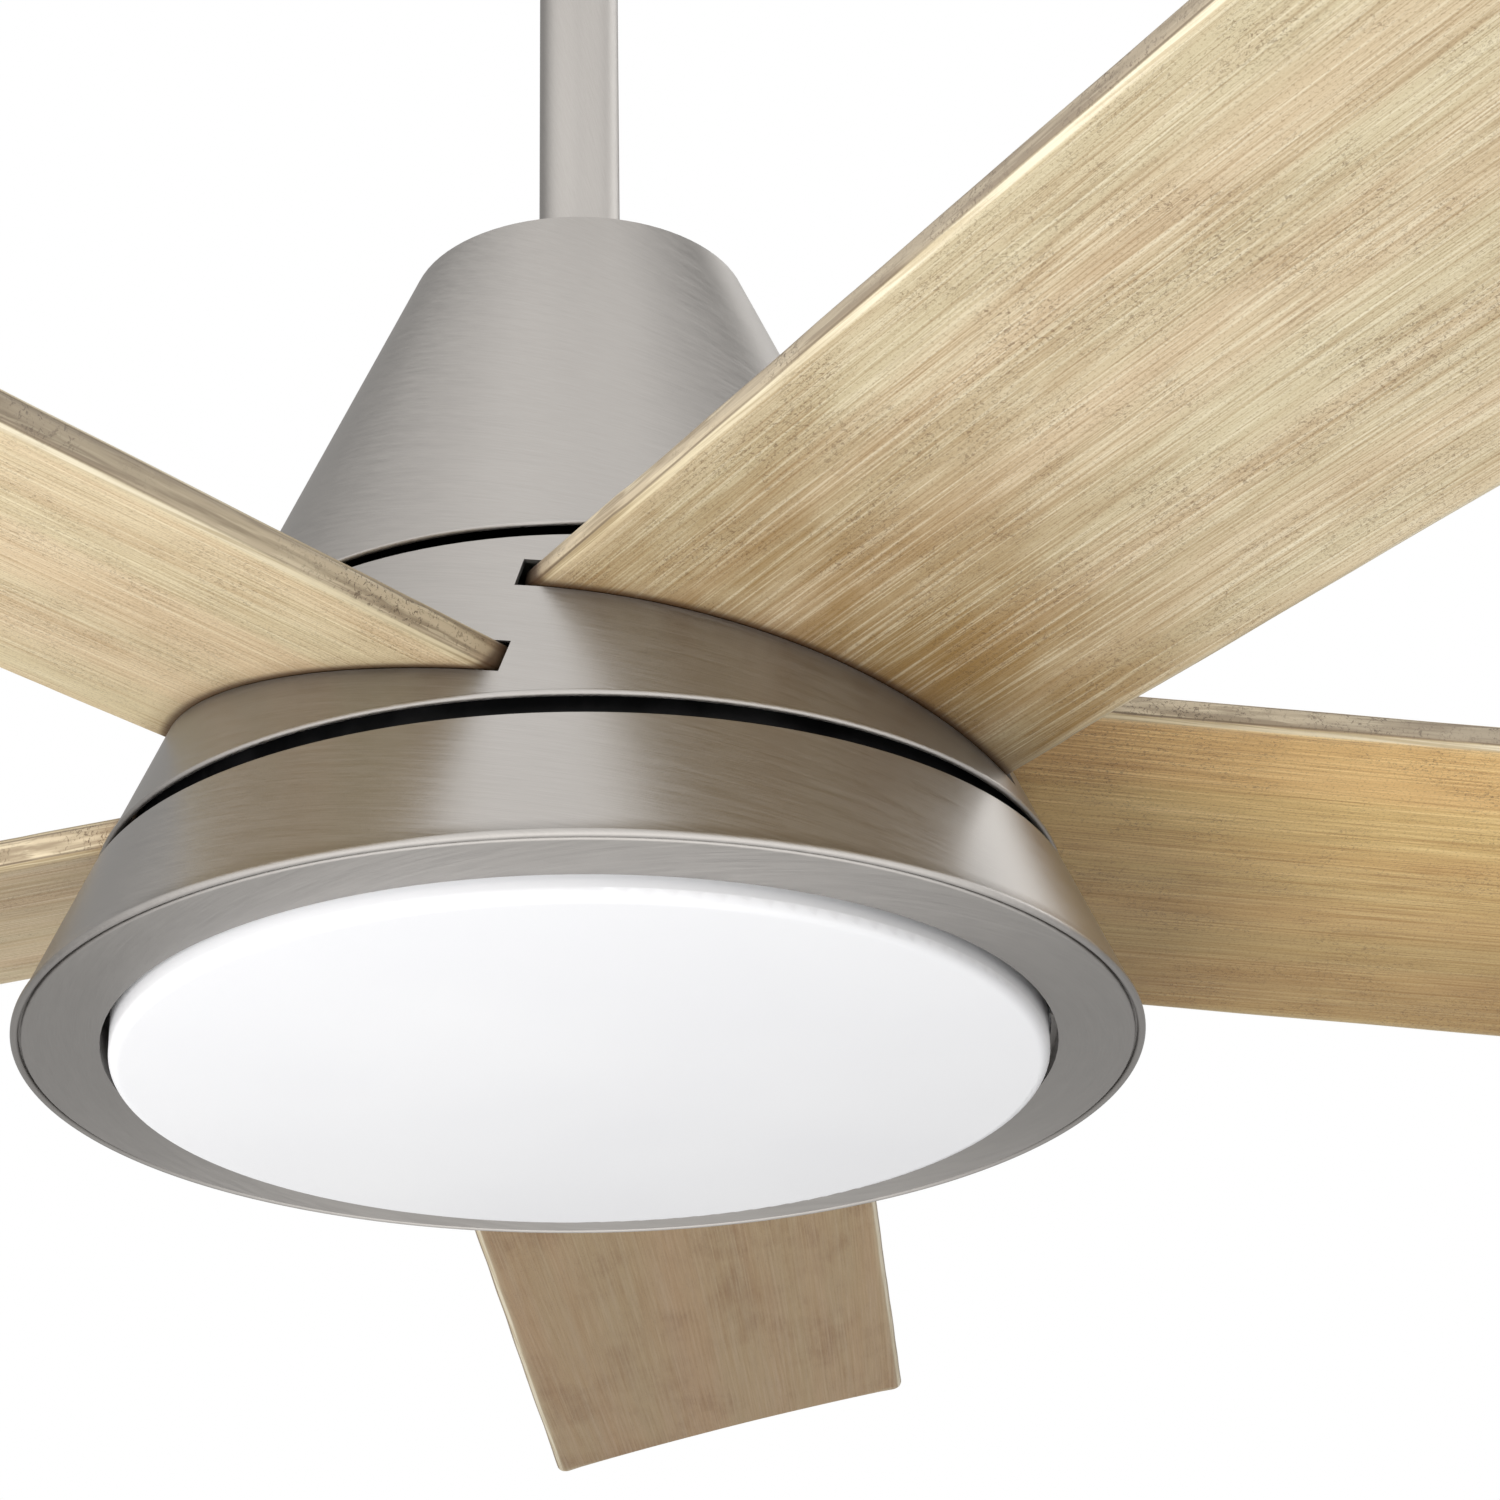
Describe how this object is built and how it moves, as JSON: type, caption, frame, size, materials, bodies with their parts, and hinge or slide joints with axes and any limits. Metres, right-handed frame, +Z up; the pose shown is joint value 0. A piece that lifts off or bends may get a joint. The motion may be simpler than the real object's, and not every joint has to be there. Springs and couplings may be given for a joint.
{
  "type": "ceiling fan with light",
  "caption": "Conical brushed-nickel ceiling fan on a downrod, with pitched oak-look blades let into a slotted rotor ring and a round opal light below.",
  "frame": {"origin": "middle of the hanger bracket's top face, on the ceiling, midway between the two ceiling-box slots", "axes": "+Z up along the downrod and spin axis; X along the line of the two ceiling-box slots"},
  "size_m": [1.4477, 1.4208, 0.529],
  "materials": {
    "nickel": "satin brushed nickel, brushed round the axis",
    "zinc": "zinc-plated steel",
    "steel_sheet": "stacked electrical steel",
    "spring_steel": "blackened spring steel",
    "black_enamel": "satin black enamel on cast metal",
    "cast_black": "satin black enamel on die-cast aluminium",
    "magnet": "ferrite",
    "alloy": "plain sheet",
    "copper_wire": "enamelled copper wire",
    "circuit_green": "circuit board",
    "white_enamel": "white solder mask on an aluminium board",
    "white_plastic": "moulded case",
    "black_plastic": "moulded nylon",
    "led_phosphor": "yellow phosphor",
    "opal": "frosted opal acrylic",
    "oak": "weathered light oak grain, satin"
  },
  "bodies": {
    "ceiling_mount": {"hanger_bracket": "zinc", "canopy": "nickel", "canopy_screws": "nickel", "receiver": "black_plastic"},
    "ball_cup": {"ball_seat": "black_plastic"},
    "fan_frame": {"hanger_ball": "black_enamel", "ball_pin": "zinc", "ball_set_screw": "zinc", "downrod": "nickel", "rod_coupling": "black_enamel", "clevis_pin": "zinc", "cotter_pin": "zinc", "coupling_set_screws": "zinc", "upper_housing": "nickel", "housing_screws": "nickel", "motor_shaft": "zinc", "shaft_circlips": "spring_steel", "wave_washer": "zinc", "stator_core": "steel_sheet", "stator_windings": "copper_wire", "motor_board": "circuit_green", "light_base": "black_enamel", "shaft_nuts": "zinc", "light_skirt": "nickel", "skirt_screws": "zinc", "face_ring": "nickel", "face_screws": "zinc", "led_plate": "alloy", "standoffs": "zinc", "led_plate_screws": "zinc", "led_board": "white_enamel", "leds": "led_phosphor", "led_driver": "white_plastic", "lead_wires": "black_plastic", "wire_plug": "white_plastic"},
    "rotor": {"motor_top_cover": "cast_black", "motor_bottom_cover": "cast_black", "motor_screws": "zinc", "back_iron": "zinc", "magnets": "magnet", "upper_bearing": "zinc", "lower_bearing": "zinc", "blade_hub": "cast_black", "hub_screws": "zinc", "blade_ring": "nickel", "ring_screws": "zinc", "blade_1": "oak", "blade_2": "oak", "blade_3": "oak", "blade_4": "oak", "blade_5": "oak", "clamp_plates": "zinc", "blade_screws": "zinc"},
    "lens_unit": {"lens": "opal"}
  },
  "joints": [
    {"name": "ball_swing_x", "type": "hinge", "parent": "ceiling_mount", "child": "ball_cup", "pos_m": [0, 0, -0.04], "axis": [1, 0, 0], "range_deg": [-8, 8]},
    {"name": "ball_swing_y", "type": "hinge", "parent": "ball_cup", "child": "fan_frame", "pos_m": [0, 0, -0.04], "axis": [0, 1, 0], "range_deg": [-8, 8]},
    {"name": "rotor_spin", "type": "hinge", "parent": "fan_frame", "child": "rotor", "pos_m": [0, 0, -0.4], "axis": [0, 0, 1], "continuous": true},
    {"name": "lens_turn", "type": "hinge", "parent": "fan_frame", "child": "lens_unit", "pos_m": [0, 0, -0.519], "axis": [0, 0, 1], "range_deg": [-30, 0]}
  ]
}
